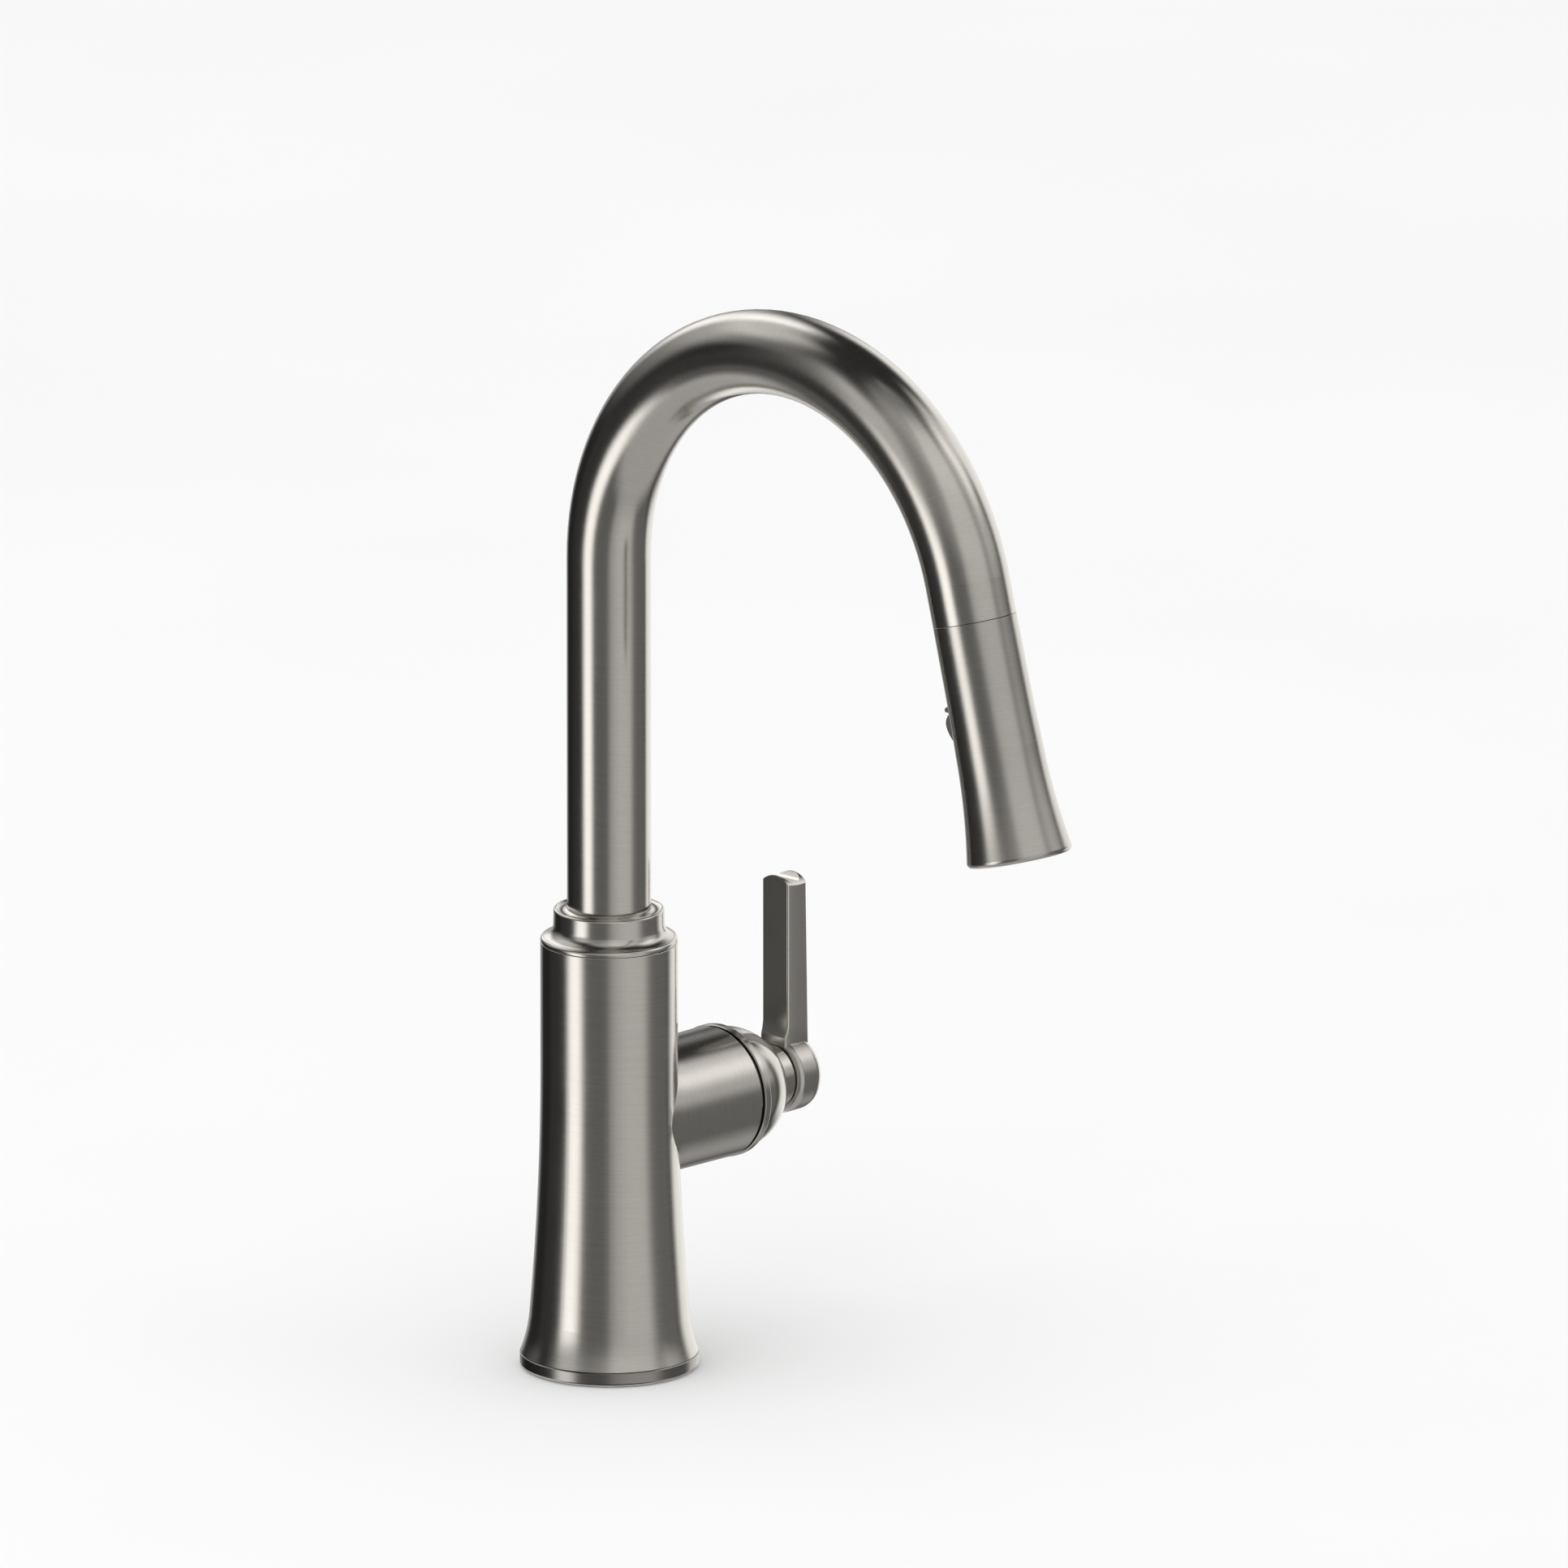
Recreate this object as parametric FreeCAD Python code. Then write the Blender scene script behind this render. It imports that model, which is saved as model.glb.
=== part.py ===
"""Single-lever pull-down kitchen faucet.

Millimetres. The origin is on the deck plane, on the column's axis. +Z is up,
the spout points to -Y and the lever stands on the +X side.
"""

import FreeCAD, Part
import math
import os

# Column and foot
COLUMN_R = 24.6
COLUMN_TOP = 157.0
COLUMN_STRAIGHT_FROM = 112.0
FLARE_RADIUS = 1050.0
CAVITY_R = 22.0
SWIVEL_BORE_R = 19.8
SWIVEL_LEDGE = 121.0
FLOOR_TOP = 12.0
RING_R = 32.1
RING_TOP = 5.2
GASKET_T = 0.8

# Spout
SPOUT_R = 15.0
SPOUT_BORE_R = 13.5
ARCH_R = 90.0
ARCH_START = 299.0
ARCH_SWEEP = 165.0
SLEEVE_R = 17.6
SLEEVE_BOTTOM = 116.0
SLEEVE_BORE_R = 13.6
COLLAR_BOTTOM = 158.2
TUBE_SEAT = 150.0
DOCK_SEAM = 14.0

# Valve on the side of the column, its axis along +X
VALVE_Z = 90.4
STUB_R = 23.9
STUB_END = 54.6
STUB_BORE_R = 20.9
MOUTH_R = 23.05
MOUTH_FROM = 46.4
PIVOT_X = 59.0
DOME_R = 22.7
DOME_T = 1.5
LEVER_TILT = 25.0
HUB_R = 14.0
HUB_FROM = 84.1
HUB_TO = 97.1
STEM_R = 4.9
SCREW_X = 89.4

# Lever blade
BLADE_HALF = 6.8
BLADE_FROM = 85.4
BLADE_TO_LOW = 96.1
BLADE_TO_HIGH = 94.6
BLADE_TOP = 164.5

# Wand, lengths measured along its axis from the end of the arch
WAND_LENGTH = 100.6
RIM_R = 18.85
FACE_FROM = 93.6
FACE_R = 16.95
WAND_WALL = 1.7
TOGGLE_L = 49.5
TOGGLE_PIN_R = 11.4
TOGGLE_HALF_LENGTH = 6.4
TOGGLE_HALF_ANGLE = 32.0
TOGGLE_HUB_ANGLE = 14.5
PIN_R = 0.6

# Under the deck
SHANK_R = 16.0
SHANK_BORE_R = 14.4
SPIGOT_R = 15.5
SHANK_THREAD_R = 15.8
SHANK_BOTTOM = -58.0
DECK_T = 20.0
HOSE_R = 6.0
HOSE_X = -6.6
SUPPLY_R = 3.5
SUPPLY_X = 4.9
SUPPLY_Y = 9.4
OUTLET_X = 10.6
THREAD_R = 5.0

Z_AXIS = FreeCAD.Vector(0, 0, 1)
ORIGIN = FreeCAD.Vector(0, 0, 0)
TILT = math.radians(180.0 - ARCH_SWEEP)
WAND_DIRECTION = FreeCAD.Vector(0, -math.sin(TILT), -math.cos(TILT))
ARCH_END = FreeCAD.Vector(
    0,
    -ARCH_R - ARCH_R * math.cos(TILT),
    ARCH_START + ARCH_R * math.sin(TILT),
)
VALVE_FRAME = FreeCAD.Placement(
    FreeCAD.Vector(0, 0, VALVE_Z), FreeCAD.Rotation(FreeCAD.Vector(0, 1, 0), 90)
)
WAND_FRAME = FreeCAD.Placement(ARCH_END, FreeCAD.Rotation(Z_AXIS, WAND_DIRECTION))


# ---------------------------------------------------------------- helpers


def outline(points):
    """Closed face in the XZ plane. (r, z) ends a line, (r, z, r, z) an arc."""
    ends = [FreeCAD.Vector(p[-2], 0, p[-1]) for p in points]
    edges = []
    for i in range(1, len(points) + 1):
        start = ends[i - 1]
        end = ends[i % len(points)]
        point = points[i % len(points)]
        if len(point) == 4:
            middle = FreeCAD.Vector(point[0], 0, point[1])
            edges.append(Part.Arc(start, middle, end).toShape())
        else:
            edges.append(Part.LineSegment(start, end).toShape())
    return Part.Face(Part.Wire(edges))


def turned(points, angle=360.0):
    """Solid turned about Z from an outline, centred on +X when partial."""
    solid = outline(points).revolve(ORIGIN, Z_AXIS, angle)
    if angle < 360.0:
        solid.rotate(ORIGIN, Z_AXIS, -angle / 2)
    return solid


def rod(radius, low, high, x=0.0, y=0.0):
    return Part.makeCylinder(radius, high - low, FreeCAD.Vector(x, y, low))


def ring(outer, inner, low, high, x=0.0, y=0.0):
    return rod(outer, low, high, x, y).cut(rod(inner, low - 1, high + 1, x, y))


def block(x, y, z):
    """Box from three (low, high) pairs."""
    corner = FreeCAD.Vector(x[0], y[0], z[0])
    return Part.makeBox(x[1] - x[0], y[1] - y[0], z[1] - z[0], corner)


def hexagon(across_flats, low, high, x=0.0, y=0.0):
    """Hexagonal prism along Z."""
    corner_r = across_flats / math.sqrt(3)
    corners = []
    for i in range(7):
        a = math.radians(60 * i)
        corners.append(FreeCAD.Vector(x + corner_r * math.cos(a), y + corner_r * math.sin(a), low))
    return Part.Face(Part.makePolygon(corners)).extrude(FreeCAD.Vector(0, 0, high - low))


def circle_of(count, radius):
    """Centres of equal features on a circle."""
    step = 2 * math.pi / count
    return [(radius * math.cos(i * step), radius * math.sin(i * step)) for i in range(count)]


def fused(first, *others):
    """One solid from touching ones, with no seams left on shared faces."""
    return first.fuse(list(others)).removeSplitter()


def on_valve(shape):
    """Moves a shape made along Z onto the valve's axis."""
    placed = shape.copy()
    placed.Placement = VALVE_FRAME.multiply(placed.Placement)
    return placed


def on_wand(shape):
    """Moves a shape made along Z onto the wand's axis."""
    placed = shape.copy()
    placed.Placement = WAND_FRAME.multiply(placed.Placement)
    return placed


def toggle_side(shape):
    """Turns a wand shape made on +X to the side that faces the column."""
    turned_shape = shape.copy()
    turned_shape.rotate(ORIGIN, Z_AXIS, -90)
    return turned_shape


def rounding(radius):
    """Distance from a square corner to the middle of the arc that rounds it."""
    return radius * (1 - math.sqrt(0.5))


def sphere_about_pivot(radius):
    return Part.makeSphere(radius, FreeCAD.Vector(0, 0, PIVOT_X))


def flare_r(z):
    """Outer radius of the column, which widens slowly towards the foot."""
    below = max(0.0, COLUMN_STRAIGHT_FROM - z)
    return COLUMN_R + below * below / (2 * FLARE_RADIUS)


# ------------------------------------------------------------ fixed body


def body_casting():
    """Column with flared foot and side stub, bored for the swivel and the valve."""
    column = turned([
        (0, 1),
        (27, 1),
        (27, RING_TOP + 0.05),
        (31.2, RING_TOP + 0.05),
        (31.4, RING_TOP + 0.25),
        (31.85, RING_TOP + 0.25),
        (30.0, 11.5, flare_r(19), 19),
        (flare_r(60), 60, COLUMN_R, COLUMN_STRAIGHT_FROM),
        (COLUMN_R, COLUMN_TOP - 0.3),
        (COLUMN_R - rounding(0.3), COLUMN_TOP - rounding(0.3), COLUMN_R - 0.3, COLUMN_TOP),
        (0, COLUMN_TOP),
    ])
    stub = on_valve(turned([
        (0, 0),
        (STUB_R - 0.5, 0),
        (STUB_R, STUB_END - 0.6),
        (STUB_R - rounding(0.6), STUB_END - rounding(0.6), STUB_R - 0.6, STUB_END),
        (0, STUB_END),
    ]))
    casting = column.fuse(stub)
    casting = casting.cut(rod(CAVITY_R, FLOOR_TOP, SWIVEL_LEDGE))
    casting = casting.cut(rod(SWIVEL_BORE_R, SWIVEL_LEDGE - 1, COLUMN_TOP + 1))
    casting = casting.cut(rod(SPIGOT_R + 0.05, 0, FLOOR_TOP + 1))
    casting = casting.cut(on_valve(rod(STUB_BORE_R, 0, STUB_END + 1)))
    casting = casting.cut(on_valve(rod(MOUTH_R, MOUTH_FROM, STUB_END + 1)))
    return casting.removeSplitter()


def base_ring():
    """Straight band that the flared foot stands on."""
    edge = 0.25
    return turned([
        (27.05, GASKET_T),
        (RING_R - 2 * edge, GASKET_T),
        (RING_R, GASKET_T + 2 * edge),
        (RING_R, RING_TOP - edge),
        (RING_R - edge, RING_TOP),
        (27.05, RING_TOP),
    ])


def base_gasket():
    return ring(30.6, 18, 0, GASKET_T)


def glide_washer():
    """Plastic washer that the spout collar turns on."""
    return ring(23.1, SLEEVE_R + 0.4, COLUMN_TOP, COLLAR_BOTTOM - 0.15)


def upper_bushing():
    return ring(SWIVEL_BORE_R - 0.05, SLEEVE_R + 0.05, COLUMN_TOP - 17, COLUMN_TOP - 0.1)


def lower_bushing():
    return ring(SWIVEL_BORE_R - 0.05, SLEEVE_R + 0.05, SWIVEL_LEDGE + 0.5, SWIVEL_LEDGE + 14)


# ----------------------------------------------------------------- valve


PORTS = [(7.5, 4.0), (-7.5, 4.0), (0.0, -7.0)]


def port_holes(radius, low, high):
    """Hot, cold and mixed ports, as rods along the valve axis."""
    return [rod(radius, low, high, -up, side) for side, up in PORTS]


def valve_block():
    """Brass waterway at the bottom of the stub with sockets for the three tubes."""
    body = on_valve(rod(20.6, 0.6, 15.4))
    cuts = [on_valve(hole) for hole in port_holes(2.6, 5, 16)]
    for x, y, top in tube_places():
        cuts.append(rod(SUPPLY_R + 0.05, 60, top, x, y))
    for side in (1, -1):
        cuts.append(rod(2.5, 60, VALVE_Z + 5, SUPPLY_X, side * SUPPLY_Y))
    cuts.append(rod(2.5, 60, VALVE_Z - 6, OUTLET_X))
    return body.cut(cuts)


def cartridge_seals():
    """One ring seal at each port."""
    rings = []
    for side, up in PORTS:
        rings.append(on_valve(ring(4.0, 2.7, 15.4, 16.2, -up, side)))
    return Part.makeCompound(rings)


def cartridge_body():
    """Plastic housing of the 35 mm cartridge, ported below and open above."""
    housing = rod(17.5, 16.2, 44)
    housing = housing.cut(rod(15.2, 34, 45))
    return on_valve(housing.cut(port_holes(2.6, 16, 35)))


def fixed_disc():
    disc = rod(15.0, 34.1, 37.6)
    return on_valve(disc.cut(port_holes(2.4, 34, 38)))


def moving_disc():
    """Ceramic disc with the collar that the stem's ball end pushes."""
    disc = rod(9.8, 37.7, 40.9, 2.8)
    mixing_hollow = rod(5.2, 37, 39.4, 2.8)
    collar = ring(6.6, 3.3, 40.9, 44.0)
    return on_valve(fused(disc.cut(mixing_hollow), collar))


def cartridge_nut():
    """Brass nut that clamps the cartridge and keeps the carrier in."""
    nut = turned([
        (17.65, 38),
        (20.8, 38),
        (20.8, 47.6),
        (12.9, 47.6),
        (12.9, 46.1),
        (14.6, 46.1),
        (14.6, 44.1),
        (17.65, 44.1),
    ])
    spanner_slots = [
        block((-21, 21), (-2, 2), (46.6, 48)),
        block((-2, 2), (-21, 21), (46.6, 48)),
    ]
    return on_valve(nut.cut(spanner_slots))


def stem_carrier():
    """Turret that turns for temperature and holds the stem's pin."""
    turret = turned([
        (0, 44.4),
        (14.2, 44.4),
        (14.2, 45.7),
        (12.5, 45.7),
        (12.5, 64),
        (0, 64),
    ])
    slot = block((-10, 8), (-5.3, 5.3), (44, 65))
    bore = Part.makeCylinder(2.02, 30, FreeCAD.Vector(0, -15, PIVOT_X), FreeCAD.Vector(0, 1, 0))
    return on_valve(turret.cut([slot, bore]))


def pivot_pin():
    pin = Part.makeCylinder(2.0, 24, FreeCAD.Vector(0, -12, PIVOT_X), FreeCAD.Vector(0, 1, 0))
    return on_valve(pin)


def lever_stem():
    """Square bar with a ball end inside the cartridge and a round end in the hub."""
    bar = block((-3.5, 3.5), (-3.5, 3.5), (48, 64))
    tail = rod(2.0, 45, 48)
    ball = Part.makeSphere(2.7, FreeCAD.Vector(0, 0, 45))
    round_end = rod(STEM_R, 64, 92)
    bore = Part.makeCylinder(2.05, 12, FreeCAD.Vector(0, -6, PIVOT_X), FreeCAD.Vector(0, 1, 0))
    return on_valve(fused(bar, tail, ball, round_end).cut(bore))


def trim_ring():
    """Bead around the mouth of the stub, set off from it by a groove."""
    inner_r = MOUTH_R + 0.05
    outer_r = STUB_R + 0.3
    low = STUB_END + 1.1
    high = PIVOT_X - 0.1
    return on_valve(turned([
        (inner_r, STUB_END),
        (inner_r + 0.2, STUB_END),
        (inner_r + 0.2, low),
        (outer_r - 0.4, low),
        (outer_r, low + 0.4),
        (outer_r, high - 0.8),
        (outer_r - rounding(0.8), high - rounding(0.8), outer_r - 0.8, high),
        (inner_r, high),
    ]))


def dome_cap():
    """Hemispherical cover about the pivot, with a skirt that stays under the ring when tilted."""
    shell = sphere_about_pivot(DOME_R).cut(sphere_about_pivot(DOME_R - DOME_T))
    size = 3 * DOME_R
    front = block((-size, size), (-size, size), (PIVOT_X - 1.3, PIVOT_X + size))
    tilted = block((-size, size), (-size, size), (PIVOT_X, PIVOT_X + size))
    tilted.rotate(FreeCAD.Vector(0, 0, PIVOT_X), FreeCAD.Vector(0, 1, 0), -LEVER_TILT - 1)
    cover = shell.common(front.fuse(tilted))
    return on_valve(cover.cut(rod(STEM_R + 0.05, PIVOT_X, PIVOT_X + size)))


def neck_ring():
    """Spacer between the dome and the hub, relieved next to the hub."""
    relief = 0.7
    spacer = ring(11.9, STEM_R + 0.05, PIVOT_X + 15, HUB_FROM - relief)
    spigot = ring(10.9, STEM_R + 0.05, PIVOT_X + 15, HUB_FROM - 0.05)
    return on_valve(fused(spacer, spigot).cut(sphere_about_pivot(DOME_R + 0.02)))


# ----------------------------------------------------------------- lever


def lever_handle():
    """Round hub and an upright blade, one casting."""
    inner = 2.5
    outer = 4.5
    hub = on_valve(turned([
        (0, HUB_FROM),
        (HUB_R - inner, HUB_FROM),
        (HUB_R - rounding(inner), HUB_FROM + rounding(inner), HUB_R, HUB_FROM + inner),
        (HUB_R, HUB_TO - outer),
        (HUB_R - rounding(outer), HUB_TO - rounding(outer), HUB_R - outer, HUB_TO),
        (0, HUB_TO),
    ]))
    handle = fused(hub, lever_blade())
    handle = handle.cut(on_valve(rod(STEM_R + 0.05, HUB_FROM - 1, 92.2)))
    screw_hole = rod(2.05, VALVE_Z - HUB_R - 1, VALVE_Z, SCREW_X)
    plug_hole = rod(2.6, VALVE_Z - HUB_R - 1, VALVE_Z - HUB_R + 2, SCREW_X)
    return handle.cut([screw_hole, plug_hole]).removeSplitter()


def lever_blade():
    """Upright blade with bowed sides, a saddle on top and a scoop above the hub."""
    scoop_r = 14.0
    scoop_depth = 1.2
    scoop_height = math.sqrt(scoop_r ** 2 - (scoop_r - scoop_depth) ** 2)
    scoop_top = VALVE_Z + 20.5
    half_way = scoop_r - math.sqrt(scoop_r ** 2 - scoop_height ** 2 / 4)
    chin = BLADE_FROM - scoop_depth
    width = 4 * BLADE_HALF
    side_view = outline([
        (chin, VALVE_Z),
        (BLADE_TO_LOW, VALVE_Z),
        (BLADE_TO_HIGH, BLADE_TOP),
        (BLADE_FROM, BLADE_TOP),
        (BLADE_FROM, scoop_top),
        (BLADE_FROM - half_way, scoop_top - scoop_height / 2, chin, scoop_top - scoop_height),
    ]).extrude(FreeCAD.Vector(0, width, 0))
    side_view.translate(FreeCAD.Vector(0, -width / 2, 0))
    near = BLADE_HALF - 0.9
    far = BLADE_HALF - 0.4
    bows = []
    for side in (1, -1):
        bows.append(Part.Arc(
            FreeCAD.Vector(chin - 1, side * near, 0),
            FreeCAD.Vector(BLADE_FROM + 5.5, side * BLADE_HALF, 0),
            FreeCAD.Vector(BLADE_TO_LOW + 1, side * far, 0),
        ).toShape())
    inner_edge = Part.makeLine(bows[1].Vertexes[0].Point, bows[0].Vertexes[0].Point)
    outer_edge = Part.makeLine(bows[0].Vertexes[1].Point, bows[1].Vertexes[1].Point)
    section = Part.Face(Part.Wire([inner_edge, bows[0], outer_edge, bows[1]]))
    section.translate(FreeCAD.Vector(0, 0, VALVE_Z))
    blade = section.extrude(FreeCAD.Vector(0, 0, BLADE_TOP - VALVE_Z)).common(side_view)
    uprights = [e for e in blade.Edges if abs(e.tangentAt(e.FirstParameter).z) > 0.8]
    blade = blade.makeFillet(0.7, uprights)
    middle = (BLADE_FROM + BLADE_TO_HIGH) / 2
    crown_r = 9.0
    crown = Part.makeCylinder(
        crown_r,
        40,
        FreeCAD.Vector(middle - 20, 0, BLADE_TOP - crown_r),
        FreeCAD.Vector(1, 0, 0),
    )
    below_crown = block((0, 200), (-50, 50), (0, BLADE_TOP - crown_r))
    saddle_r = 5.2
    saddle_depth = 2.2
    saddle = Part.makeCylinder(
        saddle_r,
        40,
        FreeCAD.Vector(middle, -20, BLADE_TOP - saddle_depth + saddle_r),
        FreeCAD.Vector(0, 1, 0),
    )
    return blade.common(crown.fuse(below_crown)).cut(saddle)


def handle_screw():
    """Set screw that locks the hub on the stem, with a hexagon socket."""
    screw = rod(2.0, VALVE_Z - 11.4, VALVE_Z - STEM_R - 0.05, SCREW_X)
    return screw.cut(hexagon(2, VALVE_Z - 12, VALVE_Z - 9, SCREW_X))


def screw_plug():
    """Plug over the set screw, finished flush with the hub."""
    plug = rod(2.55, VALVE_Z - HUB_R - 1, VALVE_Z - HUB_R + 1.9, SCREW_X)
    return plug.common(on_valve(rod(HUB_R, HUB_FROM, HUB_TO)))


# ----------------------------------------------------------------- spout


def spout_collar():
    """Turned collar with a coved neck above and the swivel sleeve below."""
    return turned([
        (SLEEVE_BORE_R, SLEEVE_BOTTOM),
        (SLEEVE_R, SLEEVE_BOTTOM),
        (SLEEVE_R, 119.1),
        (16.6, 119.1),
        (16.6, 120.7),
        (SLEEVE_R, 120.7),
        (SLEEVE_R, COLLAR_BOTTOM),
        (23.5, COLLAR_BOTTOM),
        (23.5, COLUMN_TOP + 0.15),
        (24.5, COLUMN_TOP + 0.15),
        (24.55, 157.5),
        (24.25, 158.6, 23.3, 159.1),
        (22.6, 159.45),
        (20.85, 160.9, 19.95, 163.8),
        (19.85, 168.4),
        (19.6, 169.05, 19.0, 169.3),
        (17.5, 168.6, 15.9, 168.8),
        (15.05, 169.2),
        (SPOUT_R + 0.05, TUBE_SEAT),
        (SLEEVE_BORE_R, TUBE_SEAT),
    ])


def swivel_clip():
    """Open spring ring that keeps the sleeve in the column."""
    clip = ring(19.2, 16.65, 119.2, 120.6)
    return clip.cut(block((-25, -10), (-4, 4), (118, 122)))


def gooseneck_path(low, straight_end):
    """Upright run, arch and straight outlet run on the spout's centre line."""
    centre = FreeCAD.Vector(0, -ARCH_R, ARCH_START)
    half = math.radians(ARCH_SWEEP / 2)
    top = centre + FreeCAD.Vector(0, ARCH_R * math.cos(half), ARCH_R * math.sin(half))
    start = FreeCAD.Vector(0, 0, ARCH_START)
    end = ARCH_END + WAND_DIRECTION * straight_end
    return [
        Part.LineSegment(FreeCAD.Vector(0, 0, low), start).toShape(),
        Part.Arc(start, top, ARCH_END).toShape(),
        Part.LineSegment(ARCH_END, end).toShape(),
    ]


def swept(edges, radius):
    """Round bar along a path that starts straight up."""
    start = edges[0].Vertexes[0].Point
    section = Part.Wire(Part.makeCircle(radius, start, Z_AXIS))
    return Part.Wire(edges).makePipeShell([section], True, False)


def spout_tube():
    outer = swept(gooseneck_path(TUBE_SEAT + 0.2, DOCK_SEAM), SPOUT_R)
    inner = swept(gooseneck_path(TUBE_SEAT - 1, DOCK_SEAM + 1), SPOUT_BORE_R)
    return outer.cut(inner)


def dock_bushing():
    """Plastic guide in the outlet of the gooseneck, with a groove for the magnet."""
    return on_wand(turned([
        (10.0, 0.2),
        (13.4, 0.2),
        (13.4, 2.0),
        (11.4, 2.0),
        (11.4, 8.0),
        (13.4, 8.0),
        (13.4, 13.4),
        (12.3, 13.4),
        (10.0, 9.4),
    ]))


def dock_magnet():
    return on_wand(ring(13.35, 11.45, 2.1, 7.9))


# ------------------------------------------------------------------ hose


SHIFT_BEND_R = 300.0
SHIFT_START = 195.0


def hose_path():
    """Up the column beside the valve, over to the spout's centre and round the arch."""
    turn = math.acos(1 - abs(HOSE_X) / (2 * SHIFT_BEND_R))
    low_centre = FreeCAD.Vector(HOSE_X + SHIFT_BEND_R, 0, SHIFT_START)
    high_z = SHIFT_START + 2 * SHIFT_BEND_R * math.sin(turn)
    high_centre = FreeCAD.Vector(-SHIFT_BEND_R, 0, high_z)

    def about(centre, sign, angle):
        return centre + FreeCAD.Vector(sign * math.cos(angle), 0, -sign * math.sin(angle)) * SHIFT_BEND_R

    foot = FreeCAD.Vector(HOSE_X, 0, SHANK_BOTTOM)
    bend = FreeCAD.Vector(HOSE_X, 0, SHIFT_START)
    middle = about(low_centre, -1, turn)
    low_arc = Part.Arc(bend, about(low_centre, -1, turn / 2), middle)
    high_arc = Part.Arc(middle, about(high_centre, 1, turn / 2), FreeCAD.Vector(0, 0, high_z))
    lower = [Part.LineSegment(foot, bend).toShape(), low_arc.toShape(), high_arc.toShape()]
    return lower + gooseneck_path(high_z, 1.5)


def spray_hose():
    """Hose that feeds the wand, on its route inside the faucet."""
    outer = swept(hose_path(), HOSE_R)
    inner = swept(hose_path(), HOSE_R - 2.2)
    return outer.cut(inner)


def hose_end_fitting():
    """Quick coupling on the hose's lower end."""
    return turned([
        (2.5, SHANK_BOTTOM - 20),
        (4.0, SHANK_BOTTOM - 20),
        (4.0, SHANK_BOTTOM - 12),
        (5.4, SHANK_BOTTOM - 12),
        (5.4, SHANK_BOTTOM),
        (2.5, SHANK_BOTTOM),
    ]).translated(FreeCAD.Vector(HOSE_X, 0, 0))


def hose_nut():
    """Cone nut on the hose's upper end, screwed to the wand's neck."""
    return on_wand(turned([
        (4.0, 1.7),
        (6.5, 1.7),
        (6.5, -3),
        (8.4, -3),
        (9.6, -1),
        (9.6, 3),
        (8.6, 3),
        (8.6, 7),
        (9.6, 7),
        (9.6, 12),
        (7.3, 12),
        (7.3, 4.4),
        (4.0, 4.4),
    ]))


def dock_ring():
    """Steel ring that the dock's magnet holds."""
    return on_wand(ring(9.6, 8.62, 3.05, 6.95))


def hose_washer():
    return on_wand(ring(7.2, 4.0, 4.45, 5.95))


# ------------------------------------------------------------------ wand


def wand_shell():
    """Flared outer shell of the wand with a rounded rim and the window for the toggle."""
    top = DOCK_SEAM + 0.15
    lip_r = 1.8
    lip_centre = FreeCAD.Vector(RIM_R - lip_r, WAND_LENGTH - lip_r, 0)

    def on_lip(degrees):
        angle = math.radians(degrees)
        return lip_centre + FreeCAD.Vector(math.cos(angle), math.sin(angle), 0) * lip_r

    lip = [on_lip(-9.4), on_lip(38), on_lip(85)]
    shell = turned([
        (11.6, top),
        (SPOUT_R - 0.15, top),
        (SPOUT_R, top + 0.15),
        (15.1, 30),
        (15.25, 46, 15.6, 60),
        (16.35, 78, lip[0].x, lip[0].y),
        (lip[1].x, lip[1].y, lip[2].x, lip[2].y),
        (FACE_R + 0.05, WAND_LENGTH - 0.1),
        (FACE_R + 0.05, FACE_FROM + 2.2),
        (FACE_R - 0.25, FACE_FROM + 2),
        (16.35 - WAND_WALL, 78, 15.6 - WAND_WALL, 60),
        (15.25 - WAND_WALL, 46, 15.1 - WAND_WALL, 30),
        (15.1 - WAND_WALL, top + 1),
        (11.6, top + 1),
    ])
    low = TOGGLE_L - TOGGLE_HALF_LENGTH - 0.5
    high = TOGGLE_L + TOGGLE_HALF_LENGTH + 0.5
    window = turned([(12, low), (18, low), (18, high), (12, high)], 2 * TOGGLE_HALF_ANGLE + 4)
    return on_wand(shell.cut(toggle_side(window)))


def wand_neck():
    """Threaded neck between the hose nut and the waterway."""
    return on_wand(turned([
        (5.0, 6),
        (7.25, 6),
        (7.25, 12.2),
        (11.4, 12.2),
        (11.4, 15.5),
        (13.2, 15.5),
        (13.2, 24),
        (5.0, 24),
    ]))


def check_valve():
    """Cartridge that stops backflow, inside the neck."""
    return on_wand(turned([(1.5, 14), (4.9, 14), (4.9, 22), (3.2, 22), (1.5, 18)]))


def wand_waterway():
    """Inner water body, with ears for the toggle's pin and a chamber above the face."""
    core = turned([
        (5.0, 24.1),
        (9.6, 24.1),
        (9.6, 62),
        (13.6, 70),
        (14.4, 80),
        (15.7, FACE_FROM - 2),
        (14.6, FACE_FROM - 2),
        (12.4, 74),
        (3.5, 72),
        (3.5, 66.2),
        (5.0, 66.2),
    ])
    ears = []
    for side in (1, -1):
        low, high = sorted((side * 3.7, side * 4.9))
        ears.append(block((low, high), (-12.3, -7.5), (TOGGLE_L - 1.5, TOGGLE_L + 1.5)))
    pin_bore = Part.makeCylinder(
        PIN_R + 0.02, 12, FreeCAD.Vector(-6, -TOGGLE_PIN_R, TOGGLE_L), FreeCAD.Vector(1, 0, 0)
    )
    slot = block((-1.6, 1.6), (-10, -4), (TOGGLE_L - 2.2, TOGGLE_L + 2.2))
    return on_wand(fused(core, *ears).cut([pin_bore, slot]))


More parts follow.
